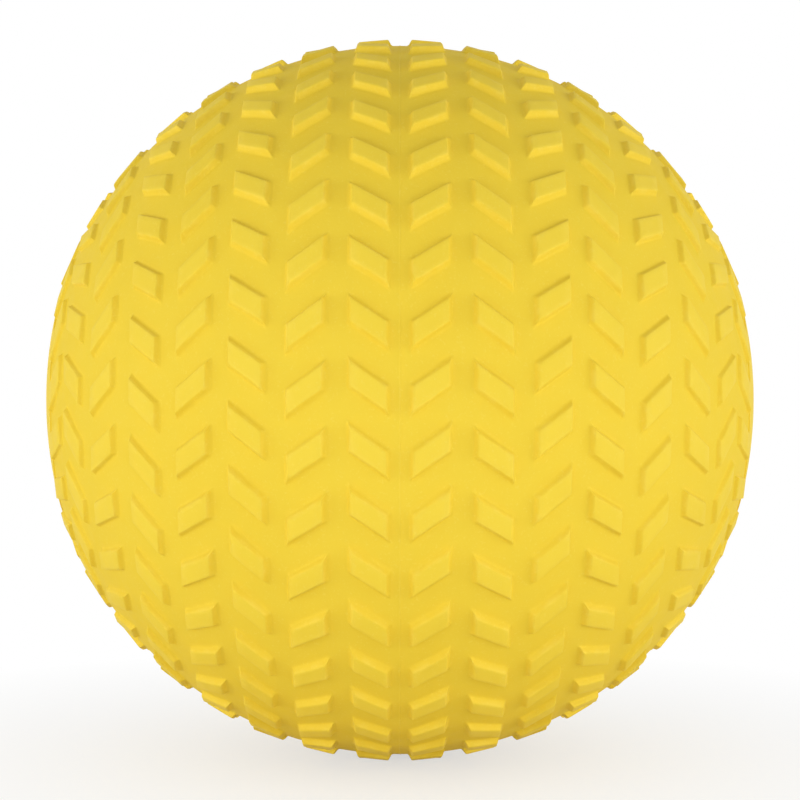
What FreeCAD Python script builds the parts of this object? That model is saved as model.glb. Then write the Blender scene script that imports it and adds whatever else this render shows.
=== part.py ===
import FreeCAD, Part
import math
import os

# A weighted exercise ball: a thick moulded shell with rings of tread blocks, part filled with
# loose sand, closed at one pole by a plug that carries a needle valve.
# Millimetres. X runs from pole to pole, with the plug at the +X pole, and the rings of blocks
# go round X. The viewer stands at -Y, +Z is up, and the origin is the centre of the ball.

V = FreeCAD.Vector
CENTRE = V(0, 0, 0)
POLE_AXIS = V(1, 0, 0)

# Shell
tread_diameter = 230.0       # across the tops of the tallest blocks
tread_depth = 1.8            # height of the tallest blocks above the groove floor
wall_thickness = 8.0         # from the groove floor to the inside

# Smooth caps at the poles
cap_radius = 127.0           # of the cap's own, flatter dome
cap_angle = 21.0             # degrees from the pole to the cap's rim
cap_step = 0.45              # how far the rim stands above the groove floor

# Tread: rings of blocks on each side of the groove at the parting plane
ring_latitudes = (4.13, 12.65, 21.05, 29.45, 38.3, 47.6, 56.6, 64.9)   # middle of each ring
block_counts = (42, 40, 38, 36, 32, 27, 23, 18)
block_starts = (1.8, 1.4, 5.1, 1.8, -0.6, 2.7, 5.4, 6.0)   # angle of one block in each ring
block_width = 12.2           # across the ring, at the foot
block_length = 9.6           # along the ring, at the foot
block_slant = 34.5           # degrees between a block's sloping sides and the pole axis
block_bevel = 1.25           # how far each side leans in at the full depth
depth_fade = 95.0            # degrees of latitude at which the blocks would have no height
block_root = 1.2             # how far a block reaches down into the wall

# Neck that is moulded inside the wall at the +X pole
neck_radius = 15.0
neck_length = 23.0           # from the top of the cap to the neck's inner end
neck_root = 4.0              # how far the neck reaches into the wall
fill_hole_radius = 10.0
seat_radius = 13.0           # recess for the plug's head
seat_depth = 3.0

# Fill plug
glue_gap = 0.05              # all round the plug, for the cement
plug_recess = 0.3            # how far the head lies below the top of the cap
bead_height = 0.8            # of the bead that snaps into the neck
bead_width = 2.4
bead_crest = 0.8             # width of the bead's flat top
bead_depth = 13.0            # from the top of the cap to the middle of the bead

# Needle valve
stem_radius = 4.0
button_radius = 5.5          # of its outer head
button_thickness = 2.0
button_recess = 0.4          # how far it lies below the plug's head
tail_radius = 5.4            # of the collar that holds it behind the plug
tail_length = 4.5
tail_collar = 1.5            # length of its full-width part
tail_tip_radius = 2.0
needle_radius = 1.0          # of the channel that takes an inflation needle
channel_length = 19.0
funnel_radius = 1.9          # lead-in at the channel's mouth
funnel_depth = 0.9

# Sand
ball_mass = 4.0              # kilograms, complete
shell_density = 1.2          # kilograms per litre, soft vinyl
sand_density = 1.6           # kilograms per litre, loose and dry
sand_clearance = 0.3         # between the sand and the wall
litre = 1e6                  # cubic millimetres
halvings = 60                # steps of the search for the sand's level

quarter_turn = 90.0
overrun = 1.0                # how far a tool runs past the face that it cuts

floor_radius = tread_diameter / 2 - tread_depth
inner_radius = floor_radius - wall_thickness
rim_latitude = quarter_turn - cap_angle


def on_sphere(radius, latitude, turn):
    """Point at a latitude from the parting plane and a turn about X, from the front upwards."""
    lat = math.radians(latitude)
    phi = math.radians(turn)
    return V(radius * math.sin(lat),
             -radius * math.cos(lat) * math.cos(phi),
             radius * math.cos(lat) * math.sin(phi))


def in_plane(radius, latitude):
    """Point on the profile that is turned about X to make the shell."""
    lat = math.radians(latitude)
    return V(radius * math.sin(lat), radius * math.cos(lat), 0)


def arc_about_centre(radius, start, end):
    """Arc about the origin between two latitudes, in the profile's plane."""
    middle = in_plane(radius, (start + end) / 2)
    return Part.Arc(in_plane(radius, start), middle, in_plane(radius, end)).toShape()


def cap_centre():
    """X of the cap's own centre, set so that its rim stands cap_step above the floor."""
    rim = in_plane(floor_radius + cap_step, rim_latitude)
    return rim.x - math.sqrt(cap_radius ** 2 - rim.y ** 2)


def cap_top():
    """X of the middle of the cap."""
    return cap_centre() + cap_radius


def turned(points):
    """Solid that a closed profile, given as (x, distance from X) pairs, makes about X."""
    corners = [V(x, r, 0) for x, r in points]
    face = Part.Face(Part.makePolygon(corners + corners[:1]))
    return face.revolve(CENTRE, POLE_AXIS, 360)


def rod(radius, start, end):
    """Cylinder on the pole axis between two values of X."""
    return Part.makeCylinder(radius, end - start, V(start, 0, 0), POLE_AXIS)


def dome_under(recess):
    """Everything inside the cap's dome when it is lowered by a recess."""
    return Part.makeSphere(cap_radius - recess, V(cap_centre(), 0, 0))


def band_edges():
    """Latitudes between which each ring of blocks has its band of floor."""
    between = [(a + b) / 2 for a, b in zip(ring_latitudes, ring_latitudes[1:])]
    return [0.0] + between + [rim_latitude]


def half_wall():
    """Smooth wall of the +X half, with one band of floor for each ring and the cap."""
    bands = band_edges()
    edges = [arc_about_centre(floor_radius, a, b) for a, b in zip(bands, bands[1:])]
    rim_foot = in_plane(floor_radius, rim_latitude)
    rim_top = in_plane(floor_radius + cap_step, rim_latitude)
    edges.append(Part.makeLine(rim_foot, rim_top))
    half_way = math.asin(rim_top.y / cap_radius) / 2
    cap_middle = V(cap_centre() + cap_radius * math.cos(half_way), cap_radius * math.sin(half_way), 0)
    outer_pole = V(cap_top(), 0, 0)
    inner_pole = V(inner_radius, 0, 0)
    edges.append(Part.Arc(rim_top, cap_middle, outer_pole).toShape())
    edges.append(Part.makeLine(outer_pole, inner_pole))
    edges.append(arc_about_centre(inner_radius, quarter_turn, 0))
    edges.append(Part.makeLine(in_plane(inner_radius, 0), in_plane(floor_radius, 0)))
    face = Part.Face(Part.Wire(edges))
    return face.revolve(CENTRE, POLE_AXIS, 360)


def block_height(latitude):
    """Height of a block above the floor, less towards the poles."""
    return tread_depth * (1 - (latitude / depth_fade) ** 2)


def outline(middle, across, along, lean, width, length):
    """Corners of a parallelogram with two sides along the ring and two that lean."""
    corners = []
    for side, end in ((-1, -1), (1, -1), (1, 1), (-1, 1)):
        offset = across * (side * width / 2)
        climb = along * (side * width / 2 * lean + end * length / 2)
        corners.append(middle + offset + climb)
    return corners


def tread_block(latitude, turn, lean):
    """Block with a flat top, four leaning sides and a root inside the wall."""
    outward = on_sphere(1, latitude, turn)
    across = on_sphere(1, latitude + quarter_turn, turn)
    along = outward.cross(across)
    height = block_height(latitude)
    slope = block_bevel / tread_depth
    steepness = math.sqrt(1 + lean ** 2)
    feet = []
    for level in (-block_root, height):
        shrink = 2 * slope * level
        width = block_width - shrink
        length = block_length - shrink * steepness
        middle = outward * (floor_radius + level)
        feet.append(outline(middle, across, along, lean, width, length))
    root, top = feet
    faces = [Part.Face(Part.makePolygon(root + root[:1])), Part.Face(Part.makePolygon(top + top[:1]))]
    for a in range(4):
        b = (a + 1) % 4
        faces.append(Part.Face(Part.makePolygon([root[a], root[b], top[b], top[a], root[a]])))
    block = Part.Solid(Part.Shell(faces))
    if block.Volume < 0:
        block.reverse()
    return block


def ring_of_blocks(ring):
    """All the blocks of one ring. Neighbouring rings lean opposite ways."""
    latitude = ring_latitudes[ring]
    lean = math.tan(math.radians(block_slant)) * (1 if ring % 2 == 0 else -1)
    step = 360 / block_counts[ring]
    return [tread_block(latitude, block_starts[ring] + n * step, lean) for n in range(block_counts[ring])]


def treaded_half():
    """Wall of the +X half with its tread blocks."""
    blocks = []
    for ring in range(len(block_counts)):
        blocks += ring_of_blocks(ring)
    return half_wall().multiFuse(blocks)


def bead(radius, height):
    """Ring with a rounded-off ridge, on a cylinder of the given radius about X."""
    middle = cap_top() - bead_depth
    foot = bead_width / 2
    crest = bead_crest / 2
    base = radius - bead_width
    return turned([(middle - foot, base), (middle + foot, base), (middle + foot, radius),
                   (middle + crest, radius + height), (middle - crest, radius + height),
                   (middle - foot, radius)])


def neck():
    """Thick collar inside the wall, which gives the plug its length."""
    return rod(neck_radius, cap_top() - neck_length, inner_radius + neck_root)


def fill_passage():
    """Everything that is open through the neck: the hole, the head's seat and the snap groove."""
    hole = rod(fill_hole_radius, cap_top() - neck_length - overrun, cap_top() + overrun)
    seat = rod(seat_radius, cap_top() - seat_depth, cap_top() + overrun)
    return hole.fuse([seat, bead(fill_hole_radius, bead_height)])


def tread_shell():
    """The one-piece moulding: both treaded halves, the neck and the fill hole."""
    half = treaded_half()
    whole = half.fuse(half.mirror(CENTRE, POLE_AXIS))
    return whole.fuse(neck()).cut(fill_passage())


def fill_plug():
    """Stopper with a head that follows the cap and a bead that holds it in the neck."""
    end = cap_top() - neck_length
    head = rod(seat_radius - glue_gap, cap_top() - seat_depth + glue_gap, cap_top() + overrun)
    shank = rod(fill_hole_radius - glue_gap, end, cap_top() - seat_depth + overrun)
    solid = head.fuse([shank, bead(fill_hole_radius - glue_gap, bead_height - glue_gap)])
    solid = solid.common(dome_under(plug_recess))
    button_seat = rod(button_radius, button_back(), cap_top() + overrun)
    stem_hole = rod(stem_radius, end - overrun, cap_top() + overrun)
    return solid.cut(stem_hole).cut(button_seat)


def button_face():
    """X of the valve's outer face."""
    return cap_top() - plug_recess - button_recess


def button_back():
    """X of the underside of the valve's outer head."""
    return button_face() - button_thickness


def needle_valve():
    """Rubber insert with a needle channel that ends before its tail."""
    plug_end = cap_top() - neck_length
    button = rod(button_radius - glue_gap, button_back(), button_face())
    stem = rod(stem_radius, plug_end, button_back())
    tail = turned([(plug_end - tail_length, 0), (plug_end, 0), (plug_end, tail_radius),
                   (plug_end - tail_collar, tail_radius), (plug_end - tail_length, tail_tip_radius)])
    channel = rod(needle_radius, button_face() - channel_length, button_face() + overrun)
    funnel = turned([(button_face() - funnel_depth, 0), (button_face() + funnel_depth, 0),
                     (button_face() + funnel_depth, funnel_radius), (button_face(), funnel_radius),
                     (button_face() - funnel_depth, needle_radius)])
    return button.fuse([stem, tail]).cut(channel.fuse(funnel)).removeSplitter()


def sand_level(sand_volume, radius):
    """Height of the flat top of a heap that fills the bottom of a sphere."""
    low = -radius
    high = radius
    for _ in range(halvings):
        level = (low + high) / 2
        depth = level + radius
        if math.pi * depth ** 2 * (3 * radius - depth) / 3 < sand_volume:
            low = level
        else:
            high = level
    return level


def sand_fill(shell, plug):
    """Loose sand, settled level in the bottom of the ball, of the weight that the shell leaves."""
    sand_mass = ball_mass - (shell.Volume + plug.Volume) / litre * shell_density
    radius = inner_radius - sand_clearance
    level = sand_level(sand_mass / sand_density * litre, radius)
    below_level = Part.makeBox(2 * radius, 2 * radius, level + radius, V(-radius, -radius, -radius))
    valve_end = cap_top() - neck_length - tail_length
    around_neck = rod(neck_radius + sand_clearance, valve_end - sand_clearance, cap_top())
    return Part.makeSphere(radius).common(below_level).cut(around_neck)


def main():
    """Build every piece and write it to its own file."""
    os.makedirs("parts", exist_ok=True)
    shell = tread_shell()
    plug = fill_plug()
    pieces = {
        "tread_shell": shell,
        "fill_plug": plug,
        "needle_valve": needle_valve(),
        "sand_fill": sand_fill(shell, plug),
    }
    for name, shape in pieces.items():
        shape.exportStep("parts/" + name + ".step")
        box = shape.BoundBox
        print(name, shape.ShapeType, len(shape.Solids), "solids", round(shape.Volume / 1000, 2), "cm3",
              "valid", shape.isValid(), [round(v, 2) for v in (box.XMin, box.XMax, box.YMin, box.YMax,
                                                               box.ZMin, box.ZMax)])


main()
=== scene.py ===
# A treaded, sand-filled exercise ball in a small daylight studio. Metres, in the CAD frame:
# X runs from pole to pole with the plug at +X, the viewer stands at -Y, and +Z is up.

import logging
import math
from dataclasses import dataclass
from enum import Enum
from typing import Iterable, Optional, Sequence

import bpy
import numpy as np
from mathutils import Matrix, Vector, noise


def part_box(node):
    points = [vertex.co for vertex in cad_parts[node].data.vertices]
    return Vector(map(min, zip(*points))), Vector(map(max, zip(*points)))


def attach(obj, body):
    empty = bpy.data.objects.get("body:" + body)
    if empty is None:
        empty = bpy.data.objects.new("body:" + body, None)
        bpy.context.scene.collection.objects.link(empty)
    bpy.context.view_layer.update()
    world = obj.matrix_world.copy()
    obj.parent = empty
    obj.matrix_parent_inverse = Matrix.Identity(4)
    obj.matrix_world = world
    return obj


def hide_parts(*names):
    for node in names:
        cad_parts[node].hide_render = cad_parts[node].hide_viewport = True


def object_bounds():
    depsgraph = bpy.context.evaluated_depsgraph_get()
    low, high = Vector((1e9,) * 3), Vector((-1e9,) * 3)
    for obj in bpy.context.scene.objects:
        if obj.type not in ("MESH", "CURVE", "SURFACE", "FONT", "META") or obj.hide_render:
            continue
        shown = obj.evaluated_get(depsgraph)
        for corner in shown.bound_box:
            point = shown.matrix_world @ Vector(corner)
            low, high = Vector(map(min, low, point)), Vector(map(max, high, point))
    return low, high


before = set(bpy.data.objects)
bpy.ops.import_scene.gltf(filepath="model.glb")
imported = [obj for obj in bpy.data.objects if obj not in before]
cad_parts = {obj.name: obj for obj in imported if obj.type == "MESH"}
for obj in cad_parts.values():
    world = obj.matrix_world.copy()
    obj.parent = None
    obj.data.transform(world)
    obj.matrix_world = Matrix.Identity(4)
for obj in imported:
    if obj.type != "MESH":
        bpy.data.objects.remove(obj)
cad_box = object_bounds()

MM = 0.001
LOG = logging.getLogger("treaded_ball")

# A fillet takes at most this share of the straight stretch on either side of its corner.
FILLET_SHARE = 0.45
# The least half angle of a corner, as a tangent, for which a fillet's reach is worked out.
SHARPEST_CORNER = 0.05

Point2 = tuple[float, float]
Colour = tuple[float, float, float]


class Axis(Enum):
    """The axis that a turned piece is turned about."""

    POLES = "x"
    UP = "z"


class Side(Enum):
    """The two halves of the shell, by the sign of X."""

    PLUGGED = 1
    PLAIN = -1


@dataclass
class Loop:
    """A closed row of points round an axis, from which skins are made.

    Attributes:
        points: One row of x, y, z for each point.
        turns: The angle of each point about the axis, rising.
        groove: How far down in the tread's grooves each point lies, 0 to 1.
        edge: How near each point lies to a block's top edge, 0 to 1.
    """

    points: np.ndarray
    turns: np.ndarray
    groove: np.ndarray
    edge: np.ndarray

    def mirrored(self) -> "Loop":
        """The same loop on the other side of the parting plane."""
        return Loop(self.points * np.array([-1.0, 1.0, 1.0]), self.turns, self.groove, self.edge)


def turned_loop(along: float, radius: float, count: int, axis: Axis = Axis.POLES,
                groove: float = 0.0) -> Loop:
    """A round loop about an axis.

    Args:
        along: Place of the loop along the axis.
        radius: Radius of the loop.
        count: Number of points.
        axis: The axis that it goes round.
        groove: Share of groove that its points carry.

    Returns:
        The loop, with its first point at the front.
    """
    turns = np.arange(count) * (2 * math.pi / count)
    flat = np.full(count, along)
    if axis is Axis.POLES:
        points = np.column_stack([flat, -radius * np.cos(turns), radius * np.sin(turns)])
    else:
        points = np.column_stack([radius * np.sin(turns), -radius * np.cos(turns), flat])
    return Loop(points, turns, np.full(count, groove), np.zeros(count))


class Skin:
    """A mesh that is made from a run of loops, each joined to the next."""

    def __init__(self) -> None:
        """Start with no points and no faces."""
        self.points: list[np.ndarray] = []
        self.groove: list[np.ndarray] = []
        self.edge: list[np.ndarray] = []
        self.faces: list[tuple[int, ...]] = []
        self.count = 0

    def add_point(self, place: Sequence[float]) -> int:
        """Add one point, as at a pole.

        Args:
            place: Its x, y and z.

        Returns:
            The point's number.
        """
        self._store(np.array([place], float), np.zeros(1), np.zeros(1))
        return self.count - 1

    def add_loop(self, loop: Loop) -> np.ndarray:
        """Add a loop's points.

        Args:
            loop: The loop.

        Returns:
            The numbers of its points.
        """
        first = self.count
        self._store(loop.points, loop.groove, loop.edge)
        return np.arange(first, self.count)

    def _store(self, points: np.ndarray, groove: np.ndarray, edge: np.ndarray) -> None:
        """Keep points and their shares.

        Args:
            points: One row of x, y, z for each point.
            groove: Share of groove at each point.
            edge: Share of block edge at each point.
        """
        self.points.append(points)
        self.groove.append(groove)
        self.edge.append(edge)
        self.count += len(points)

    def join(self, a: np.ndarray, b: np.ndarray, turns_a: np.ndarray, turns_b: np.ndarray) -> None:
        """Join two loops, with four-sided faces where they match and triangles where they don't.

        Args:
            a: Point numbers of the first loop.
            b: Point numbers of the second loop.
            turns_a: Angles of the first loop's points.
            turns_b: Angles of the second loop's points.
        """
        if len(a) == len(b):
            self.faces += zip(a.tolist(), np.roll(a, -1).tolist(), np.roll(b, -1).tolist(), b.tolist())
            return
        a, turns_a = in_order(a, turns_a)
        b, turns_b = in_order(b, turns_b)
        i = j = 0
        while i < len(a) or j < len(b):
            here, there = a[i % len(a)], b[j % len(b)]
            next_a = turns_a[i + 1] if i < len(a) else math.inf
            next_b = turns_b[j + 1] if j < len(b) else math.inf
            if next_a <= next_b:
                i += 1
                self.faces.append((int(here), int(a[i % len(a)]), int(there)))
            else:
                j += 1
                self.faces.append((int(here), int(b[j % len(b)]), int(there)))

    def fan(self, loop: np.ndarray, pole: int) -> None:
        """Close a loop with triangles to one point."""
        self.faces += zip(loop.tolist(), np.roll(loop, -1).tolist(), [pole] * len(loop))

    def run(self, loops: Iterable[Loop], closed: bool = False) -> tuple[np.ndarray, np.ndarray]:
        """Add loops and join each to the next.

        Args:
            loops: The loops, in order.
            closed: Whether the last is joined to the first.

        Returns:
            The point numbers of the first and of the last loop.
        """
        rows = [(self.add_loop(loop), loop.turns) for loop in loops]
        following = rows[1:] + rows[:1] if closed else rows[1:]
        for (a, turns_a), (b, turns_b) in zip(rows, following):
            self.join(a, b, turns_a, turns_b)
        return rows[0][0], rows[-1][0]

    def make(self, name: str) -> bpy.types.Object:
        """Make the object, with its faces turned outwards and shaded smooth.

        Args:
            name: Name of the object.

        Returns:
            The object, which rides on the part's body.
        """
        points = np.concatenate(self.points)
        mesh = bpy.data.meshes.new(name)
        mesh.from_pydata(points.tolist(), [], self.faces)
        if signed_volume(mesh) < 0:
            mesh.flip_normals()
        mesh.shade_smooth()
        for label, shares in (("groove", self.groove), ("edge", self.edge)):
            layer = mesh.attributes.new(label, "FLOAT", "POINT")
            layer.data.foreach_set("value", np.concatenate(shares).astype(np.float32))
        mesh.validate()
        piece = bpy.data.objects.new(name, mesh)
        bpy.context.scene.collection.objects.link(piece)
        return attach(piece, "root")


def in_order(numbers: np.ndarray, turns: np.ndarray) -> tuple[np.ndarray, np.ndarray]:
    """Roll a loop so that its angles rise from just above 0.

    Args:
        numbers: The loop's point numbers.
        turns: Their angles.

    Returns:
        The rolled numbers, and their angles with the first one repeated a full turn on.
    """
    wrapped = np.mod(turns, 2 * math.pi)
    start = int(np.argmin(wrapped))
    wrapped = np.roll(wrapped, -start)
    return np.roll(numbers, -start), np.append(wrapped, wrapped[0] + 2 * math.pi)


def signed_volume(mesh: bpy.types.Mesh) -> float:
    """Measure the volume inside a closed mesh.

    Args:
        mesh: The mesh.

    Returns:
        The volume, which is negative where the faces look inwards.
    """
    mesh.calc_loop_triangles()
    corners = np.zeros(len(mesh.loop_triangles) * 3, np.int32)
    mesh.loop_triangles.foreach_get("vertices", corners)
    places = np.zeros(len(mesh.vertices) * 3, np.float64)
    mesh.vertices.foreach_get("co", places)
    a, b, c = places.reshape(-1, 3)[corners.reshape(-1, 3)].transpose(1, 0, 2)
    return float((a * np.cross(b, c)).sum() / 6)


def filleted(corners: Sequence[tuple[float, float, float]], steps: int = 4) -> list[Point2]:
    """Round off the corners of an open path.

    Args:
        corners: Place along the axis, distance from it and fillet radius of each corner.
        steps: Number of facets in each fillet.

    Returns:
        The points of the rounded path.
    """
    path: list[Point2] = []
    for n, (x, r, fillet) in enumerate(corners):
        here = Vector((x, r))
        if fillet == 0 or n in (0, len(corners) - 1):
            path.append((x, r))
            continue
        back = Vector(corners[n - 1][:2]) - here
        on = Vector(corners[n + 1][:2]) - here
        half_angle = max(math.tan(back.angle(on) / 2), SHARPEST_CORNER)
        reach = min(fillet / half_angle, back.length * FILLET_SHARE, on.length * FILLET_SHARE)
        a, b = here + back.normalized() * reach, here + on.normalized() * reach
        for k in range(steps + 1):
            t = k / steps
            p = a.lerp(here, t).lerp(here.lerp(b, t), t)
            path.append((p.x, p.y))
    return path


def arc(centre: float, radius: float, start: float, end: float, steps: int) -> list[Point2]:
    """Points of an arc about a point on the axis.

    Args:
        centre: Place of that point along the axis.
        radius: Radius of the arc.
        start: First angle from the axis, in radians.
        end: Last angle.
        steps: Number of facets.

    Returns:
        The points, both ends with them.
    """
    angles = np.linspace(start, end, steps + 1)
    return [(centre + radius * math.cos(angle), radius * math.sin(angle)) for angle in angles]


def soft_ramp(x: np.ndarray, blur: float) -> np.ndarray:
    """A ramp that starts at 0 with a rounded foot.

    Args:
        x: Distances from the foot.
        blur: Half width of the rounding.

    Returns:
        0 well before the foot and x well after it.
    """
    rounded = (x + blur) ** 2 / (4 * blur)
    return np.where(x < -blur, 0.0, np.where(x > blur, x, rounded))


def soft_min(a: np.ndarray, b: np.ndarray, blur: float) -> np.ndarray:
    """The lesser of two distances, rounded where they are alike."""
    overlap = np.maximum(blur - np.abs(a - b), 0.0) / blur
    return np.minimum(a, b) - overlap ** 2 * blur / 4


class Recipe:
    """A material's node tree, with short ways to add nodes and join them."""

    def __init__(self, name: str) -> None:
        """Start a material that holds only its output.

        Args:
            name: Name of the material.
        """
        self.material = bpy.data.materials.new(name)
        self.material.use_nodes = True
        self.tree = self.material.node_tree
        self.tree.nodes.clear()
        self.output = self.tree.nodes.new("ShaderNodeOutputMaterial")

    def add(self, kind: str, inputs: Optional[dict] = None, **settings: object) -> bpy.types.Node:
        """Add a node.

        Args:
            kind: The node's type, without the word that all shader nodes begin with.
            inputs: Value, or output to link, for each named or numbered input.
            settings: Properties of the node.

        Returns:
            The node.
        """
        node = self.tree.nodes.new("ShaderNode" + kind)
        for name, value in settings.items():
            setattr(node, name, value)
        for key, value in (inputs or {}).items():
            if isinstance(value, bpy.types.NodeSocket):
                self.tree.links.new(value, node.inputs[key])
            else:
                node.inputs[key].default_value = value
        return node

    def place(self) -> bpy.types.NodeSocket:
        """The surface's own coordinates, in metres."""
        return self.add("TexCoord").outputs["Object"]

    def noise(self, scale: float, detail: float = 2.0, roughness: float = 0.5) -> bpy.types.NodeSocket:
        """A cloudy pattern about the surface's own coordinates.

        Args:
            scale: Number of clouds in a metre.
            detail: Octaves of finer clouds.
            roughness: Strength of the finer clouds.

        Returns:
            The pattern, from 0 to 1.
        """
        return self.add("TexNoise", {"Vector": self.place(), "Scale": scale, "Detail": detail,
                                     "Roughness": roughness}).outputs["Fac"]

    def share(self, name: str) -> bpy.types.NodeSocket:
        """A share that the mesh carries at each point."""
        return self.add("Attribute", attribute_name=name).outputs["Fac"]

    def remap(self, value: bpy.types.NodeSocket, low: float, high: float, to_low: float,
              to_high: float) -> bpy.types.NodeSocket:
        """Stretch a range of a value onto another range, and hold it there.

        Args:
            value: The value.
            low: Start of its range.
            high: End of its range.
            to_low: What the start becomes.
            to_high: What the end becomes.

        Returns:
            The stretched value.
        """
        node = self.add("MapRange", {"Value": value, "From Min": low, "From Max": high,
                                     "To Min": to_low, "To Max": to_high}, clamp=True)
        return node.outputs["Result"]

    def times(self, a: bpy.types.NodeSocket, b: object) -> bpy.types.NodeSocket:
        """One value times another."""
        return self.add("Math", {0: a, 1: b}, operation="MULTIPLY").outputs[0]

    def plus(self, a: bpy.types.NodeSocket, b: object) -> bpy.types.NodeSocket:
        """One value plus another."""
        return self.add("Math", {0: a, 1: b}, operation="ADD").outputs[0]

    def blend(self, amount: object, a: object, b: object) -> bpy.types.NodeSocket:
        """A colour between two colours.

        Args:
            amount: 0 for the first colour and 1 for the second.
            a: The first colour.
            b: The second colour.

        Returns:
            The blended colour.
        """
        node = self.add("Mix", data_type="RGBA")
        colours = {0: amount, 6: a if isinstance(a, bpy.types.NodeSocket) else (*a, 1.0),
                   7: b if isinstance(b, bpy.types.NodeSocket) else (*b, 1.0)}
        for key, value in colours.items():
            if isinstance(value, bpy.types.NodeSocket):
                self.tree.links.new(value, node.inputs[key])
            else:
                node.inputs[key].default_value = value
        return node.outputs[2]

    def finish(self, shader: bpy.types.Node) -> bpy.types.Material:
        """Show a shader on the surface.

        Args:
            shader: The last shader node.

        Returns:
            The finished material.
        """
        self.tree.links.new(shader.outputs[0], self.output.inputs["Surface"])
        return self.material


@dataclass(frozen=True)
class Pattern:
    """A cloudy pattern, and how much of it shows.

    Attributes:
        scale: Number of clouds in a metre.
        low: Level of the clouds at which the pattern starts to show.
        high: Level at which it shows fully.
        most: Its share where it shows fully.
        least: Its share where it doesn't show.
        detail: Octaves of finer clouds.
        roughness: Strength of the finer clouds.
    """

    scale: float
    low: float
    high: float
    most: float
    least: float = 0.0
    detail: float = 2.0
    roughness: float = 0.5

    def share(self, recipe: Recipe) -> bpy.types.NodeSocket:
        """Work out the pattern's share at each point of a surface.

        Args:
            recipe: The material that shows it.

        Returns:
            The share.
        """
        clouds = recipe.noise(self.scale, self.detail, self.roughness)
        return recipe.remap(clouds, self.low, self.high, self.least, self.most)


@dataclass(frozen=True)
class MouldedVinyl:
    """Thick soft vinyl, matt as it leaves a blasted mould.

    Attributes:
        name: Name of the material.
        colour: Its usual colour, as light values.
        deep: The colour of its darker clouds and pits, and of the painted shade in its grooves.
        pale: The colour of its paler flecks, and of its rubbed edges with their painted highlight.
        clouds: Broad darker clouds.
        flecks: Fine pale flecks.
        pits: Fine dark pits.
        edge_wear_and_highlight: Patches in which the blocks' top edges are painted pale, partly as rubbed
            wear and partly as a painted highlight.
        dullness: How rough the surface is.
        groove_painted_shade: How much of the deep colour the grooves take, as painted shade.
        groove_dullness: How much rougher the grooves are.
        block_pits: Share of the pits that shows on top of the blocks.
        fine_scale: Bumps of the fine grain in a metre.
        coarse_scale: Bumps of the coarse grain in a metre.
        coarse_share: Strength of the coarse grain on top of the blocks and in the grooves.
        grain: Depth of its fine grain.
        grain_strength: How strongly the grain turns the light.
        shine: How much light it mirrors.
    """

    name: str
    colour: Colour = (0.915, 0.680, 0.056)
    deep: Colour = (0.880, 0.635, 0.043)
    pale: Colour = (0.940, 0.725, 0.100)
    clouds: Pattern = Pattern(22.0, 0.38, 0.66, most=0.55, detail=3.0, roughness=0.55)
    flecks: Pattern = Pattern(1500.0, 0.60, 0.74, most=0.45, detail=1.0)
    pits: Pattern = Pattern(1050.0, 0.62, 0.76, most=0.40)
    edge_wear_and_highlight: Pattern = Pattern(190.0, 0.45, 0.62, most=0.55, detail=4.0, roughness=0.65)
    dullness: Pattern = Pattern(260.0, 0.3, 0.7, most=0.68, least=0.56, detail=3.0)
    groove_painted_shade: float = 0.6
    groove_dullness: float = 0.08
    block_pits: float = 0.35
    fine_scale: float = 2300.0
    coarse_scale: float = 620.0
    coarse_share: Point2 = (0.35, 1.3)
    grain: float = 0.06 * MM
    grain_strength: float = 0.6
    shine: float = 0.15

    def colours(self, recipe: Recipe, groove: bpy.types.NodeSocket) -> bpy.types.NodeSocket:
        """Lay the clouds, the painted shade in the grooves, the flecks, the pits and the pale edges (rubbed
        wear with a painted highlight) over each other.

        Args:
            recipe: The material.
            groove: Share of groove.

        Returns:
            The colour.
        """
        colour = recipe.blend(self.clouds.share(recipe), self.colour, self.deep)
        # Painted shade: the grooves are darkened towards the deep colour.
        colour = recipe.blend(recipe.times(groove, self.groove_painted_shade), colour, self.deep)
        colour = recipe.blend(self.flecks.share(recipe), colour, self.pale)
        where = recipe.remap(groove, 0.0, 1.0, self.block_pits, 1.0)
        colour = recipe.blend(recipe.times(self.pits.share(recipe), where), colour, self.deep)
        # Painted highlight: the blocks' top edges are paled, partly as rubbed wear and partly in place of
        # the light along their edges.
        worn_and_lit_edge = recipe.times(recipe.share("edge"), self.edge_wear_and_highlight.share(recipe))
        return recipe.blend(worn_and_lit_edge, colour, self.pale)

    def material(self) -> bpy.types.Material:
        """Make the material.

        Returns:
            The material.
        """
        recipe = Recipe(self.name)
        groove = recipe.share("groove")
        rough = recipe.plus(self.dullness.share(recipe), recipe.times(groove, self.groove_dullness))
        fine = recipe.noise(self.fine_scale, detail=3.0, roughness=0.6)
        where = recipe.remap(groove, 0.0, 1.0, *self.coarse_share)
        coarse = recipe.times(recipe.noise(self.coarse_scale), where)
        bump = recipe.add("Bump", {"Height": recipe.plus(fine, coarse), "Strength": self.grain_strength,
                                   "Distance": self.grain})
        shader = recipe.add("BsdfPrincipled", {"Base Color": self.colours(recipe, groove),
                                               "Roughness": rough, "Normal": bump.outputs[0],
                                               "Specular IOR Level": self.shine})
        return recipe.finish(shader)


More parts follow.
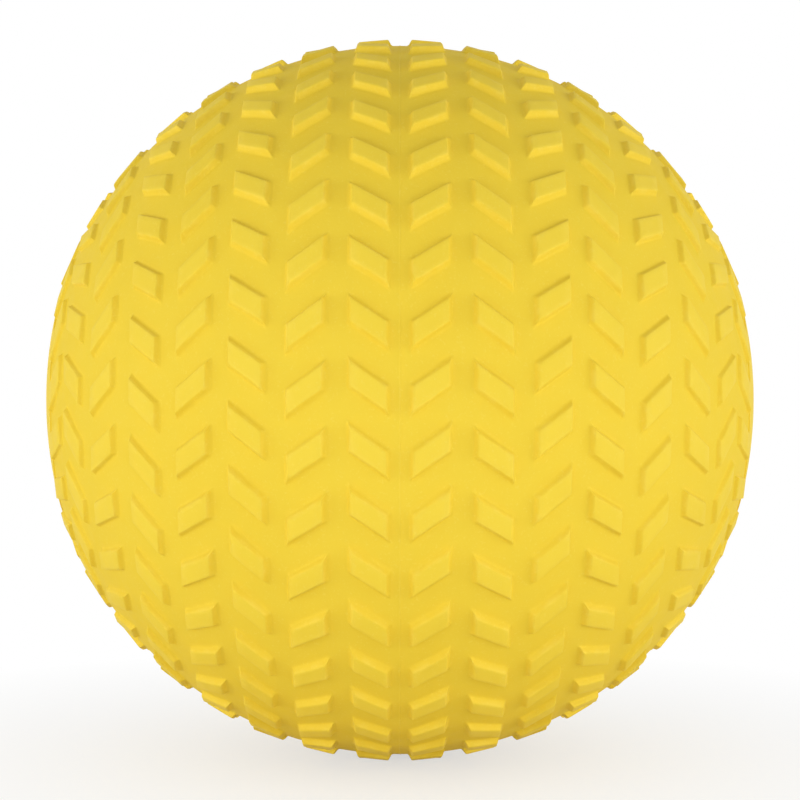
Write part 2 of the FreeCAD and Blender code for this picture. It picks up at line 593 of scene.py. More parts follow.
@dataclass(frozen=True)
class ValveRubber:
    """Soft black rubber, smooth from its mould, with a bloom of dust.

    Attributes:
        name: Name of the material.
        colour: Colour of the clean rubber.
        bloom: Colour of the dusty patches.
        dust: Where the dust lies.
        dullness: How rough the surface is.
        grain_scale: Bumps of the grain in a metre.
        grain: Depth of the grain.
        grain_strength: How strongly the grain turns the light.
        shine: How much light it mirrors.
    """

    name: str
    colour: Colour = (0.022, 0.021, 0.020)
    bloom: Colour = (0.075, 0.068, 0.055)
    dust: Pattern = Pattern(700.0, 0.45, 0.72, most=0.8, detail=4.0, roughness=0.6)
    dullness: Pattern = Pattern(900.0, 0.3, 0.7, most=0.72, least=0.5, detail=3.0)
    grain_scale: float = 3000.0
    grain: float = 0.03 * MM
    grain_strength: float = 0.4
    shine: float = 0.4

    def material(self) -> bpy.types.Material:
        """Make the material.

        Returns:
            The material.
        """
        recipe = Recipe(self.name)
        colour = recipe.blend(self.dust.share(recipe), self.colour, self.bloom)
        bump = recipe.add("Bump", {"Height": recipe.noise(self.grain_scale),
                                   "Strength": self.grain_strength, "Distance": self.grain})
        shader = recipe.add("BsdfPrincipled", {"Base Color": colour,
                                               "Roughness": self.dullness.share(recipe),
                                               "Normal": bump.outputs[0],
                                               "Specular IOR Level": self.shine})
        return recipe.finish(shader)


@dataclass(frozen=True)
class DrySand:
    """Loose washed sand, with pale and dark grains.

    Attributes:
        name: Name of the material.
        colour: Colour of most grains.
        dark: Colour of the dark grains.
        pale: Colour of the pale grains.
        mottle: Levels of the grains' pattern that are wholly dark and wholly pale.
        usual: How much the usual colour evens out the grains.
        grain_scale: Grains in a metre.
        grain: Height of the grains.
        grain_strength: How strongly the grains turn the light.
        dullness: How rough the grains are.
        shine: How much light they mirror.
    """

    name: str
    colour: Colour = (0.47, 0.33, 0.18)
    dark: Colour = (0.16, 0.10, 0.06)
    pale: Colour = (0.78, 0.66, 0.47)
    mottle: Point2 = (0.15, 0.95)
    usual: float = 0.6
    grain_scale: float = 1400.0
    grain: float = 0.3 * MM
    grain_strength: float = 0.9
    dullness: float = 0.9
    shine: float = 0.3

    def material(self) -> bpy.types.Material:
        """Make the material.

        Returns:
            The material.
        """
        recipe = Recipe(self.name)
        grains = recipe.add("TexVoronoi", {"Vector": recipe.place(), "Scale": self.grain_scale})
        paleness = recipe.remap(grains.outputs["Color"], *self.mottle, 0.0, 1.0)
        colour = recipe.blend(paleness, self.dark, self.pale)
        colour = recipe.blend(self.usual, colour, self.colour)
        bump = recipe.add("Bump", {"Height": grains.outputs["Distance"], "Strength": self.grain_strength,
                                   "Distance": self.grain})
        shader = recipe.add("BsdfPrincipled", {"Base Color": colour, "Roughness": self.dullness,
                                               "Normal": bump.outputs[0],
                                               "Specular IOR Level": self.shine})
        return recipe.finish(shader)


@dataclass
class Tread:
    """The blocks of the tread, ring by ring from the parting plane to a pole.

    Attributes:
        floor_radius: Radius of the groove floor.
        depth: Height of the tallest blocks.
        ring_latitudes: Latitude of the middle of each ring, in degrees.
        block_counts: Blocks in each ring.
        block_starts: Angle of one block in each ring, in degrees.
        block_width: Width of a block's foot across its ring.
        block_length: Length of a block's foot along its ring.
        block_slant: Angle of its leaning sides from the pole axis, in degrees.
        block_bevel: How far each side leans in at the full depth.
        depth_fade: Latitude at which blocks would have no height, in degrees.
        rim_latitude: Latitude at which the smooth cap starts, in degrees.
        seam_gap: Distance from a ring's mesh to the middle of the groove beside it.
        corner_blur: Rounding of the edges between two sides, as a share of their bevel.
        edge_blur: Rounding of a side's foot and top edge, as a share of its bevel.
        edge_reach: Reach of the pale edge (rubbed wear with a painted highlight), as a share of the bevel.
        foot_sweep: Power that hollows out the sides towards their foot.
        climb: Where a side needs points below its top edge, as shares of its bevel.
        inner_place: Where the top needs a point more, as a share of the way to the foot.
        groove_depth: How many bevels outside every block the middle of a groove counts as.
    """

    floor_radius: float = 113.2 * MM
    depth: float = 1.8 * MM
    ring_latitudes: tuple[float, ...] = (4.13, 12.65, 21.05, 29.45, 38.3, 47.6, 56.6, 64.9)
    block_counts: tuple[int, ...] = (42, 40, 38, 36, 32, 27, 23, 18)
    block_starts: tuple[float, ...] = (1.8, 1.4, 5.1, 1.8, -0.6, 2.7, 5.4, 6.0)
    rim_latitude: float = 69.0
    block_width: float = 12.2 * MM
    block_length: float = 9.6 * MM
    block_slant: float = 34.5
    block_bevel: float = 1.25 * MM
    depth_fade: float = 95.0
    seam_gap: float = 0.5 * MM
    corner_blur: float = 0.20
    edge_blur: float = 0.30
    edge_reach: float = 0.5
    foot_sweep: float = 2.8
    climb: tuple[float, ...] = (-0.15, 0.15, 0.38, 0.58)
    inner_place: float = 0.35
    groove_depth: float = 9.0

    def stations(self, foot: float, bevel: float) -> list[float]:
        """Places across a block at which its shape needs points.

        Args:
            foot: Distance from its middle to its foot.
            bevel: Width of its leaning side.

        Returns:
            The places, from one foot to the other.
        """
        top_edge = [1 + self.edge_blur * share for share in (-1.0, -0.5, 0.0, 0.5, 1.0)]
        half = [-(foot - bevel * share) for share in (*self.climb, *top_edge)]
        half.append(-foot * self.inner_place)
        return half + [0.0] + [-place for place in reversed(half)]

    def band(self, index: int) -> Point2:
        """Find the latitudes between which a ring has its band of floor.

        Args:
            index: The ring's number, from 0 beside the parting plane.

        Returns:
            The inner and the outer latitude, in degrees.
        """
        middles = (-self.ring_latitudes[0], *self.ring_latitudes)
        inner = (middles[index] + middles[index + 1]) / 2
        if index + 1 == len(self.ring_latitudes):
            return inner, self.rim_latitude - math.degrees(self.seam_gap / self.floor_radius)
        return inner, (middles[index + 1] + middles[index + 2]) / 2

    def bevelled(self, size: float, steepness: float, height: float) -> Point2:
        """Where a block's foot meets the round floor, and how far its top edge lies inside that.

        Args:
            size: Width or length of its foot in the plane that touches the floor at its middle.
            steepness: How much longer the bevel is along this direction than square to the side.
            height: The block's height.

        Returns:
            Distance from the middle to the foot, and the width of the leaning side.
        """
        slope = self.block_bevel * steepness / self.depth
        foot = size / 2 + slope * size ** 2 / 8 / self.floor_radius
        top = (size / 2 - slope * height) / (1 + height / self.floor_radius)
        return foot, foot - top

    def ring(self, index: int) -> list[Loop]:
        """The loops of one ring, from its inner side to its outer side.

        Args:
            index: The ring's number, from 0 beside the parting plane.

        Returns:
            The loops.
        """
        radius = self.floor_radius
        middle = math.radians(self.ring_latitudes[index])
        count = self.block_counts[index]
        height = self.depth * (1 - (math.degrees(middle) / self.depth_fade) ** 2)
        slant = math.radians(self.block_slant)
        lean = math.tan(slant) * (1 if index % 2 == 0 else -1)
        inner, outer = (radius * math.radians(edge) - radius * middle for edge in self.band(index))
        side, side_bevel = self.bevelled(self.block_width, 1.0, height)
        end, end_bevel = self.bevelled(self.block_length, 1 / math.cos(slant), height)
        across = [inner + self.seam_gap, *self.stations(side, side_bevel), outer - self.seam_gap]
        along = np.array(self.stations(end, end_bevel))
        step = 2 * math.pi / count
        centres = math.radians(self.block_starts[index]) + np.arange(count) * step
        loops = []
        for u in across:
            latitude = middle + u / radius
            flat = radius * math.cos(latitude)
            offsets = np.concatenate([[-step / 2 + lean * u / flat], (lean * u + along) / flat])
            turns = (centres[:, None] + offsets[None, :]).ravel()
            blocks = np.repeat(centres, len(offsets))
            in_u = (side - abs(u)) / side_bevel
            in_v = (end - np.abs(along)) / end_bevel
            in_v = np.tile(np.concatenate([[-self.groove_depth], in_v]), count)
            inside = soft_min(np.full_like(in_v, in_u), in_v, self.corner_blur)
            rise = soft_ramp(inside, self.edge_blur) - soft_ramp(inside - 1, self.edge_blur)
            rise = rise ** self.foot_sweep
            cosine = (math.sin(latitude) * math.sin(middle)
                      + math.cos(latitude) * math.cos(middle) * np.cos(turns - blocks))
            top = (radius + height) / cosine
            edge = np.clip(1 - np.abs(inside - 1) / self.edge_reach, 0, 1)
            loops.append(self.loop(latitude, turns, radius + rise * (top - radius), 1 - rise, edge))
        return loops

    @staticmethod
    def loop(latitude: float, turns: np.ndarray, radii: np.ndarray, groove: np.ndarray,
             edge: np.ndarray) -> Loop:
        """A loop at one latitude.

        Args:
            latitude: Latitude from the parting plane, in radians.
            turns: Angles of its points.
            radii: Distance of each point from the ball's centre.
            groove: Share of groove at each point.
            edge: Share of block edge at each point.

        Returns:
            The loop.
        """
        flat = math.cos(latitude)
        points = np.column_stack([radii * math.sin(latitude), -radii * flat * np.cos(turns),
                                  radii * flat * np.sin(turns)])
        return Loop(points, turns, groove, edge)

    def half(self) -> list[Loop]:
        """All the rings of the +X half, from the parting plane outwards."""
        return [loop for index in range(len(self.block_counts)) for loop in self.ring(index)]


@dataclass
class TreadShell:
    """The moulded shell: tread, smooth caps, parting line, fill hole, neck and hollow.

    Attributes:
        tread: The blocks.
        cap_top: Distance from the ball's centre to the top of a cap.
        cap_radius: Radius of the cap's own dome.
        cap_step: How far the rim stands above the groove floor.
        cap_groove: Width of the groove floor beside a cap that belongs to the cap's profile.
        pole_radius: Distance from the axis at which the plain cap's dome ends in its middle point.
        wall: Thickness of the shell from the groove floor.
        seat_radius: Radius of the seat for the plug's head.
        seat_depth: Depth of that seat.
        seat_land: Width of dome that belongs to the seat's profile.
        hole_radius: Radius of the fill hole.
        bead_height: Depth of the snap groove in the fill hole.
        bead_width: Width of the snap groove.
        bead_depth: Distance from the cap's top to the middle of the snap groove.
        neck_radius: Outer radius of the neck inside the shell.
        neck_length: Distance from the cap's top to the neck's inner end.
        root_fillet: Fillet between the neck and the hollow.
        root_spread: Angle from the neck at which the hollow's own points start, in radians.
        line_width: Width of the parting line.
        line_height: Height of the parting line.
        line_profile: Place and height of the parting line's points, as shares of the half width
            and the height.
        line_wobble: Waves of the parting line's height in a radian.
        line_waver: Depth of those waves, as a share of the height.
        line_clearness: How much less the line's top looks like a groove.
        line_wear_and_highlight: How much the line's top takes the blocks' pale edge, which is rubbed wear
            with a painted highlight.
        unevenness: How far the soft moulding strays from a true ball.
        unevenness_scale: Hollows of that unevenness in a metre.
        points_round: Points in each round loop.
        dome_steps: Facets across a cap's dome.
        hollow_steps: Facets across the hollow.
    """

    tread: Tread
    cap_top: float
    cap_radius: float = 127.0 * MM
    cap_step: float = 0.45 * MM
    cap_groove: float = 0.6 * MM
    pole_radius: float = 0.5 * MM
    wall: float = 8.0 * MM
    seat_radius: float = 13.0 * MM
    seat_depth: float = 3.0 * MM
    seat_land: float = 1.0 * MM
    hole_radius: float = 10.0 * MM
    bead_height: float = 0.8 * MM
    bead_width: float = 2.4 * MM
    bead_depth: float = 13.0 * MM
    neck_radius: float = 15.0 * MM
    neck_length: float = 23.0 * MM
    root_fillet: float = 1.5 * MM
    root_spread: float = 0.09
    line_width: float = 0.7 * MM
    line_height: float = 0.11 * MM
    line_profile: tuple[Point2, ...] = ((-1.0, 0.0), (-0.55, 0.35), (-0.2, 1.0), (0.2, 1.0), (0.55, 0.35),
                                        (1.0, 0.0))
    line_wobble: float = 9.0
    line_waver: float = 0.5
    line_clearness: float = 0.4
    line_wear_and_highlight: float = 0.5
    unevenness: float = 0.12 * MM
    unevenness_scale: float = 24.0
    points_round: int = 240
    dome_steps: int = 26
    hollow_steps: int = 60

    def parting_line(self, beside: Loop) -> list[Loop]:
        """The thin ridge that the mould's two halves leave.

        Args:
            beside: The first loop of the tread, whose points the ridge follows.

        Returns:
            The ridge's loops, across the parting plane in the +X direction.
        """
        radius = self.tread.floor_radius
        loops = []
        waves = self.line_wobble
        for place, rise in self.line_profile:
            wobble = np.array([noise.noise(Vector((waves * math.cos(turn), waves * math.sin(turn), place)))
                               for turn in beside.turns])
            radii = radius + self.line_height * rise * (1 + self.line_waver * wobble)
            latitude = place * self.line_width / 2 / radius
            groove = np.full(len(radii), 1 - self.line_clearness * rise)
            # The line's top takes the blocks' pale edge, which is rubbed wear with a painted highlight.
            edge = np.full(len(radii), self.line_wear_and_highlight * rise)
            loops.append(Tread.loop(latitude, beside.turns, radii, groove, edge))
        return loops

    def rim(self) -> Point2:
        """Find the top of the cap's rim.

        Returns:
            Its place along X, and its distance from the X axis.
        """
        latitude = math.radians(self.tread.rim_latitude)
        radius = self.tread.floor_radius + self.cap_step
        return radius * math.sin(latitude), radius * math.cos(latitude)

    def cap(self, inner_edge: float) -> list[Point2]:
        """Profile of a cap, from the groove beside it towards the pole.

        Args:
            inner_edge: Distance from the axis at which the dome ends.

        Returns:
            The points of the profile.
        """
        floor = self.tread.floor_radius
        latitude = math.radians(self.tread.rim_latitude)
        before = latitude - self.cap_groove / floor
        rim_x, rim_r = self.rim()
        centre = self.cap_top - self.cap_radius
        start = math.asin(rim_r / self.cap_radius)
        end = math.asin(inner_edge / self.cap_radius)
        dome = arc(centre, self.cap_radius, start, end, self.dome_steps)
        lip = filleted([(floor * math.sin(before), floor * math.cos(before), 0),
                        (floor * math.sin(latitude), floor * math.cos(latitude), 0.25 * MM),
                        (rim_x, rim_r, 0.35 * MM), (*dome[1], 0)])
        return lip + dome[2:]

    def passage(self) -> list[Point2]:
        """Draw the profile of the plug's seat, the fill hole, the neck and the hollow.

        Returns:
            The points of the profile, from the dome beside the seat to the far end of the hollow.
        """
        top, hole = self.cap_top, self.hole_radius
        centre = top - self.cap_radius
        mouth = centre + math.sqrt(self.cap_radius ** 2 - self.seat_radius ** 2)
        bead = top - self.bead_depth
        half = self.bead_width / 2
        inner = self.tread.floor_radius - self.wall
        root = math.sqrt(inner ** 2 - self.neck_radius ** 2)
        land = self.seat_radius + self.seat_land
        hollow = arc(0.0, inner, math.asin(self.neck_radius / inner) + self.root_spread, math.pi,
                     self.hollow_steps)
        corners = [(mouth - self.seat_land * land / self.cap_radius, land, 0),
                   (mouth, self.seat_radius, 0.3 * MM), (top - self.seat_depth, self.seat_radius, 0.3 * MM),
                   (top - self.seat_depth, hole, 0.3 * MM),
                   (bead + half, hole, 0.2 * MM), (bead + half / 3, hole + self.bead_height, 0.2 * MM),
                   (bead - half / 3, hole + self.bead_height, 0.2 * MM), (bead - half, hole, 0.2 * MM),
                   (top - self.neck_length, hole, 0.5 * MM),
                   (top - self.neck_length, self.neck_radius, 1.0 * MM),
                   (root, self.neck_radius, self.root_fillet), (*hollow[0], 0)]
        return filleted(corners) + hollow[1:-1]

    def uneven(self, loops: list[Loop]) -> None:
        """Let the outside stray a little from a true ball, as soft mouldings do.

        Args:
            loops: The loops of the outside, which are changed.
        """
        for loop in loops:
            sway = np.array([noise.noise(Vector(p) * self.unevenness_scale) for p in loop.points])
            loss = self.unevenness * (0.5 + 0.5 * sway) / self.tread.floor_radius
            loop.points = loop.points * (1 - loss)[:, None]

    def build(self) -> bpy.types.Object:
        """Make the shell as one closed skin, from the plain pole to the plugged pole and back inside.

        Returns:
            The shell.
        """
        half = self.tread.half()
        plain = [turned_loop(-x, r, self.points_round) for x, r in reversed(self.cap(self.pole_radius))]
        plugged = [turned_loop(x, r, self.points_round)
                   for x, r in self.cap(self.seat_radius + self.seat_land)]
        # These loops count as groove, so they take the groove's painted shade, pits, roughness and grain.
        for loop in (plain[-1], plain[-2], plugged[0], plugged[1]):
            loop.groove[:] = 1.0
        pole = turned_loop(-self.cap_top, 0.0, 1)
        outside = plain + [loop.mirrored() for loop in reversed(half)]
        outside += self.parting_line(half[0]) + half + plugged
        self.uneven([pole] + outside)
        inside = [turned_loop(x, r, self.points_round) for x, r in self.passage()[1:]]
        skin = Skin()
        first, last = skin.run(outside + inside)
        skin.fan(first[::-1], skin.add_point(pole.points[0]))
        skin.fan(last, skin.add_point((self.wall - self.tread.floor_radius, 0, 0)))
        shell = skin.make("tread_shell_skin")
        shell.data.materials.append(MouldedVinyl("yellow_vinyl").material())
        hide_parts("tread_shell")
        return shell


@dataclass
class FillPlug:
    """The stopper in the fill hole, with rounded rims and a bead that snaps into the neck.

    Attributes:
        end: Its inner end.
        button_floor: Place along X of the floor of the valve's seat.
        shell: The shell that it closes.
        play: Gap between it and the shell.
        recess: How far its face lies below the shell's dome.
        stem_radius: Radius of the hole for the valve's stem.
        button_radius: Radius of the seat for the valve's button.
        face_steps: Facets across its face.
        points_round: Points in each loop.
    """

    end: float
    button_floor: float
    shell: TreadShell
    play: float = 0.05 * MM
    recess: float = 0.3 * MM
    stem_radius: float = 4.0 * MM
    button_radius: float = 5.5 * MM
    face_steps: int = 6
    points_round: int = 144

    def build(self) -> bpy.types.Object:
        """Make the plug.

        Returns:
            The plug.
        """
        shell = self.shell
        dome = shell.cap_radius - self.recess
        centre = shell.cap_top - shell.cap_radius
        head = shell.seat_radius - self.play
        shank = shell.hole_radius - self.play
        under = shell.cap_top - shell.seat_depth + self.play
        bead = shell.cap_top - shell.bead_depth
        half = shell.bead_width / 2
        rise = shell.bead_height - self.play
        face = arc(centre, dome, math.asin(self.button_radius / dome), math.asin(head / dome),
                   self.face_steps)
        corners = [(self.button_floor, self.stem_radius, 0.1 * MM),
                   (self.button_floor, self.button_radius, 0.2 * MM), (*face[0], 0.25 * MM)]
        corners += [(*p, 0) for p in face[1:-1]]
        corners += [(*face[-1], 0.35 * MM), (under, head, 0.25 * MM), (under, shank, 0.2 * MM),
                    (bead + half, shank, 0.15 * MM), (bead + half / 3, shank + rise, 0.15 * MM),
                    (bead - half / 3, shank + rise, 0.15 * MM), (bead - half, shank, 0.15 * MM),
                    (self.end, shank, 0.6 * MM), (self.end, self.stem_radius, 0.3 * MM)]
        skin = Skin()
        skin.run([turned_loop(x, r, self.points_round) for x, r in filleted(corners)], closed=True)
        plug = skin.make("fill_plug_body")
        plug.data.materials.append(MouldedVinyl("plug_vinyl", grain=0.03 * MM).material())
        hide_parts("fill_plug")
        return plug


@dataclass
class NeedleValve:
    """The soft insert that takes an inflation needle.

    Attributes:
        face: Place of its outer face along X.
        end: Its inner end.
        button_radius: Radius of its button.
        button_thickness: Thickness of its button.
        stem_radius: Radius of its stem.
        tail_radius: Radius of the tail that holds it in the plug.
        tail_length: Length of the tail.
        channel_radius: Radius of the needle's channel.
        channel_length: Depth of the channel from the outer face.
        funnel_radius: Radius of the channel's mouth.
        funnel_depth: Depth of the mouth's funnel.
        end_radius: Distance from the axis at which its flat ends close in their middle point.
        points_round: Points in each loop.
    """

    face: float
    end: float
    button_radius: float = 5.45 * MM
    button_thickness: float = 2.0 * MM
    stem_radius: float = 4.0 * MM
    tail_radius: float = 5.4 * MM
    tail_length: float = 4.5 * MM
    channel_radius: float = 1.0 * MM
    channel_length: float = 19.0 * MM
    funnel_radius: float = 1.9 * MM
    funnel_depth: float = 0.9 * MM
    end_radius: float = 0.2 * MM
    points_round: int = 96

    def build(self) -> bpy.types.Object:
        """Make the valve.

        Returns:
            The valve.
        """
        back = self.face - self.button_thickness
        collar = self.end + self.tail_length
        bottom = self.face - self.channel_length
        corners = [(bottom, self.end_radius, 0), (bottom, self.channel_radius, 0.2 * MM),
                   (self.face - self.funnel_depth, self.channel_radius, 0.2 * MM),
                   (self.face, self.funnel_radius, 0.3 * MM), (self.face, self.button_radius, 0.4 * MM),
                   (back, self.button_radius, 0.2 * MM), (back, self.stem_radius, 0.1 * MM),
                   (collar, self.stem_radius, 0.1 * MM), (collar, self.tail_radius, 0.3 * MM),
                   (collar - self.tail_length / 3, self.tail_radius, 0.4 * MM),
                   (self.end, self.stem_radius / 2, 0.6 * MM), (self.end, self.end_radius, 0)]
        skin = Skin()
        first, last = skin.run([turned_loop(x, r, self.points_round) for x, r in filleted(corners)])
        skin.fan(first[::-1], skin.add_point((bottom, 0, 0)))
        skin.fan(last, skin.add_point((self.end, 0, 0)))
        valve = skin.make("needle_valve_body")
        valve.data.materials.append(ValveRubber("valve_rubber").material())
        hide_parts("needle_valve")
        return valve


@dataclass
class SandFill:
    """The loose sand, settled in the bottom of the ball.

    Attributes:
        level: Height of its top.
        radius: Radius of the ball that it fills.
        ripple: Depth of the hollows in its top.
        ripple_scale: Hollows in a metre.
        first_turn: Angle from the top to the first loop above the lowest point, in radians.
        points_round: Points in each loop.
        ball_steps: Facets from the lowest point to the sand's rim.
        top_steps: Facets from the rim to the middle of its top.
    """

    level: float
    radius: float
    ripple: float = 1.2 * MM
    ripple_scale: float = 45.0
    first_turn: float = 0.995 * math.pi
    points_round: int = 128
    ball_steps: int = 48
    top_steps: int = 40

    def build(self) -> bpy.types.Object:
        """Make the sand, with a gently rippled top.

        Returns:
            The sand.
        """
        edge = math.acos(self.level / self.radius)
        ball = arc(0.0, self.radius, self.first_turn, edge, self.ball_steps)
        rim = ball[-1][1]
        top = [(self.level, rim * (1 - step / self.top_steps)) for step in range(1, self.top_steps)]
        loops = [turned_loop(z, r, self.points_round, Axis.UP) for z, r in ball + top]
        for loop in loops[len(ball):]:
            hollows = np.array([noise.noise(Vector(p) * self.ripple_scale) for p in loop.points])
            loop.points[:, 2] -= self.ripple * (0.5 + 0.5 * hollows)
        skin = Skin()
        first, last = skin.run(loops)
        skin.fan(first[::-1], skin.add_point((0, 0, -self.radius)))
        skin.fan(last, skin.add_point((0, 0, self.level - self.ripple / 2)))
        sand = skin.make("sand_heap")
        sand.data.materials.append(DrySand("dry_sand").material())
        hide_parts("sand_fill")
        return sand


@dataclass
class Studio:
    """A white floor, soft daylight from both sides, and the photograph's viewpoint.

    Attributes:
        ball_radius: Radius of the ball's groove floor.
        floor_level: Height of the floor.
        radii_away: Distance from the camera to the ball's centre, in ball radii.
        silhouette: Radius of the groove floor's outline in the picture, in pixels.
        picture: Width of the picture, in pixels.
        sensor: Width of the camera's sensor, in millimetres.
        clip: Nearest and farthest distance that the camera sees.
        panel_azimuth: Angle of the two side lamps from the viewer's side, in degrees.
        panel_distance: Distance of the side lamps from the ball's centre.
        panel_size: Width and height of a side lamp.
        panel_power: Power of a side lamp, in watts.
        panel_height: Height of the side lamps and of the back lamp.
        front_distance: Distance of the front lamp and of the back lamp.
        front_size: Width and height of the front lamp and of the back lamp.
        front_power: Power of the front lamp, in watts.
        front_height: Height of the front lamp.
        fill_distance: Distance of the low lamp that lights the ball from the floor in front.
        fill_size: Width and height of the low lamp.
        fill_power: Power of the low lamp, in watts.
        fill_height: Height of the low lamp above the floor.
        back_power: Power of the back lamp, in watts.
        sky: Strength of the light from all round.
        sky_lean: How much weaker that light grows along each axis.
        floor_half: Half the width of the floor.
        floor_tone: Colour of the floor as it lights the ball.
        glow_reach: Distance from the ball at which the floor is plain white.
        glow_share: How much of that plain white shows under the ball.
    """

    ball_radius: float
    floor_level: float
    radii_away: float = 4.95
    silhouette: float = 354.3
    picture: float = 800.0
    sensor: float = 36.0
    clip: Point2 = (0.01, 30.0)
    panel_azimuth: float = 72.0
    panel_distance: float = 1.0
    panel_size: Point2 = (0.9, 0.32)
    panel_power: float = 2.85
    panel_height: float = 0.045
    front_distance: float = 1.3
    front_size: Point2 = (1.4, 0.32)
    front_power: float = 0.8
    front_height: float = 0.0
    fill_distance: float = 0.42
    fill_size: Point2 = (0.8, 0.2)
    fill_power: float = 0.77
    fill_height: float = 0.015
    back_power: float = 0.9
    sky: float = 0.553
    sky_lean: tuple[float, float, float] = (0.0, 0.08, 0.03)
    floor_half: float = 6.0
    floor_tone: Colour = (0.86, 0.86, 0.86)
    glow_reach: float = 0.24
    glow_share: float = 0.60

    def camera(self) -> bpy.types.Object:
        """Make the camera, level with the ball's centre.

        Returns:
            The camera.
        """
        data = bpy.data.cameras.new("camera")
        data.sensor_width = self.sensor
        data.lens = self.sensor * self.silhouette / self.picture * math.sqrt(self.radii_away ** 2 - 1)
        data.clip_start, data.clip_end = self.clip
        camera = bpy.data.objects.new("camera", data)
        camera.location = (0, -self.radii_away * self.ball_radius, 0)
        camera.rotation_euler = (math.pi / 2, 0, 0)
        bpy.context.scene.collection.objects.link(camera)
        bpy.context.scene.camera = camera
        return camera

    @staticmethod
    def lamp(name: str, azimuth: float, distance: float, size: Point2, power: float,
             height: float) -> bpy.types.Object:
        """Make a soft panel lamp that faces the ball.

        Args:
            name: Name of the lamp.
            azimuth: Angle from the viewer's side, in degrees towards +X.
            distance: Distance from the ball's centre.
            size: Width and height.
            power: Power, in watts.
            height: Height of its middle above the ball's centre.

        Returns:
            The lamp.
        """
        data = bpy.data.lights.new(name, "AREA")
        data.shape, data.size, data.size_y = "RECTANGLE", *size
        data.energy = power
        lamp = bpy.data.objects.new(name, data)
        turn = math.radians(azimuth)
        lamp.location = (math.sin(turn) * distance, -math.cos(turn) * distance, height)
        lamp.rotation_euler = (-lamp.location).to_track_quat("-Z", "Y").to_euler()
        lamp.visible_camera = False
        bpy.context.scene.collection.objects.link(lamp)
        return lamp

    def world(self) -> bpy.types.World:
        """Make the surroundings: soft light on the ball, and plain white behind it.

        Returns:
            The surroundings.
        """
        world = bpy.data.worlds.new("studio")
        world.use_nodes = True
        tree = world.node_tree
        tree.nodes.clear()
        paths = tree.nodes.new("ShaderNodeLightPath")
        seen = paths.outputs["Is Camera Ray"]
        for kind in ("Is Glossy Ray", "Is Transmission Ray"):
            either = tree.nodes.new("ShaderNodeMath")
            either.operation = "MAXIMUM"
            tree.links.new(seen, either.inputs[0])
            tree.links.new(paths.outputs[kind], either.inputs[1])
            seen = either.outputs[0]
        way = tree.nodes.new("ShaderNodeTexCoord")
        lean = tree.nodes.new("ShaderNodeVectorMath")
        lean.operation = "DOT_PRODUCT"
        lean.inputs[1].default_value = self.sky_lean
        tree.links.new(way.outputs["Generated"], lean.inputs[0])
        level = tree.nodes.new("ShaderNodeMath")
        level.operation = "SUBTRACT"
        level.inputs[0].default_value = self.sky
        tree.links.new(lean.outputs["Value"], level.inputs[1])
        light, white = (tree.nodes.new("ShaderNodeBackground") for _ in range(2))
        tree.links.new(level.outputs[0], light.inputs["Strength"])
        light.inputs["Color"].default_value = (1, 1, 1, 1)
        white.inputs["Color"].default_value = (1, 1, 1, 1)
        mix = tree.nodes.new("ShaderNodeMixShader")
        output = tree.nodes.new("ShaderNodeOutputWorld")
        tree.links.new(seen, mix.inputs[0])
        tree.links.new(light.outputs[0], mix.inputs[1])
        tree.links.new(white.outputs[0], mix.inputs[2])
        tree.links.new(mix.outputs[0], output.inputs["Surface"])
        bpy.context.scene.world = world
        return world

    def floor(self) -> bpy.types.Object:
        """Make the floor, which keeps the ball's shadow and fades to the white behind it.

        Returns:
            The floor.
        """
        recipe = Recipe("white_floor")
        paths = recipe.add("LightPath")
        seen = paths.outputs["Is Camera Ray"]
        for kind in ("Is Glossy Ray", "Is Transmission Ray"):
            seen = recipe.add("Math", {0: seen, 1: paths.outputs[kind]}, operation="MAXIMUM").outputs[0]
        tone = recipe.blend(seen, self.floor_tone, (1.0, 1.0, 1.0))
        matt = recipe.add("BsdfDiffuse", {"Color": tone})
        glow = recipe.add("Emission", {"Color": (1, 1, 1, 1), "Strength": 1.0})
        reach = recipe.add("VectorMath", {0: recipe.place()}, operation="LENGTH").outputs["Value"]
        far = recipe.times(recipe.remap(reach, 0.0, self.glow_reach, self.glow_share, 1.0), seen)
        mix = recipe.add("MixShader", {0: far, 1: matt.outputs[0], 2: glow.outputs[0]})
        half = self.floor_half
        mesh = bpy.data.meshes.new("floor")
        mesh.from_pydata([(-half, -half, 0), (half, -half, 0), (half, half, 0), (-half, half, 0)], [],
                         [(0, 1, 2, 3)])
        mesh.materials.append(recipe.finish(mix))
        floor = bpy.data.objects.new("floor", mesh)
        floor.location = (0, 0, self.floor_level)
        bpy.context.scene.collection.objects.link(floor)
        return floor

    def build(self) -> None:
        """Make the whole studio."""
        bpy.context.scene.view_settings.view_transform = "Standard"
        self.camera()
        self.world()
        self.floor()
        for side in Side:
            self.lamp("panel_" + side.name.lower(), side.value * self.panel_azimuth, self.panel_distance,
                      self.panel_size, self.panel_power, self.panel_height)
        self.lamp("panel_front", 0.0, self.front_distance, self.front_size, self.front_power,
                  self.front_height)
        self.lamp("panel_back", 180.0, self.front_distance, self.front_size, self.back_power,
                  self.panel_height)
        self.lamp("fill_board", 0.0, self.fill_distance, self.fill_size, self.fill_power,
                  self.floor_level + self.fill_height)


def report(piece: bpy.types.Object) -> None:
    """Say what a piece is made of.

    Args:
        piece: The piece.
    """
    size = [round(v / MM, 1) for v in piece.dimensions]
    LOG.info("%s: %d points, %d faces, %s mm", piece.name, len(piece.data.vertices),
             len(piece.data.polygons), size)


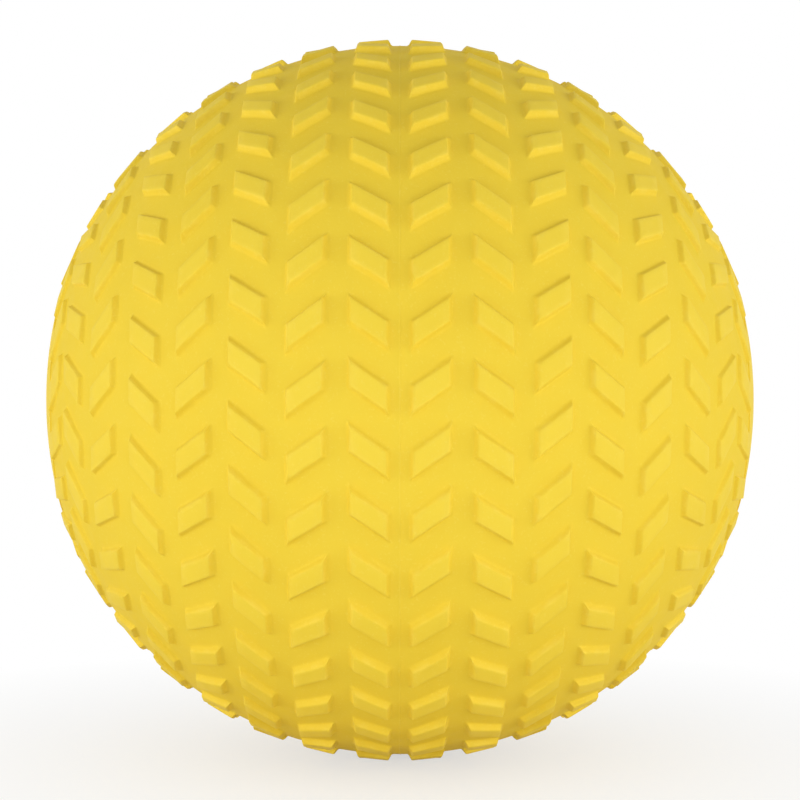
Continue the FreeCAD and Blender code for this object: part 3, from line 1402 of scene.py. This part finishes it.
def main() -> None:
    """Build the ball piece by piece, then the studio round it."""
    logging.basicConfig(level=logging.INFO, format="%(message)s")
    plug_low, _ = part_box("fill_plug")
    valve_low, valve_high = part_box("needle_valve")
    shell_low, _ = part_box("tread_shell")
    sand_low, sand_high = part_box("sand_fill")
    shell = TreadShell(Tread(), cap_top=-shell_low.x)
    valve = NeedleValve(face=valve_high.x, end=valve_low.x)
    plug = FillPlug(end=plug_low.x, button_floor=valve.face - valve.button_thickness, shell=shell)
    sand = SandFill(level=sand_high.z, radius=-sand_low.z)
    for maker in (shell, plug, valve, sand):
        report(maker.build())
    Studio(shell.tread.floor_radius, cad_box[0].z).build()


if __name__ == "__main__":
    main()
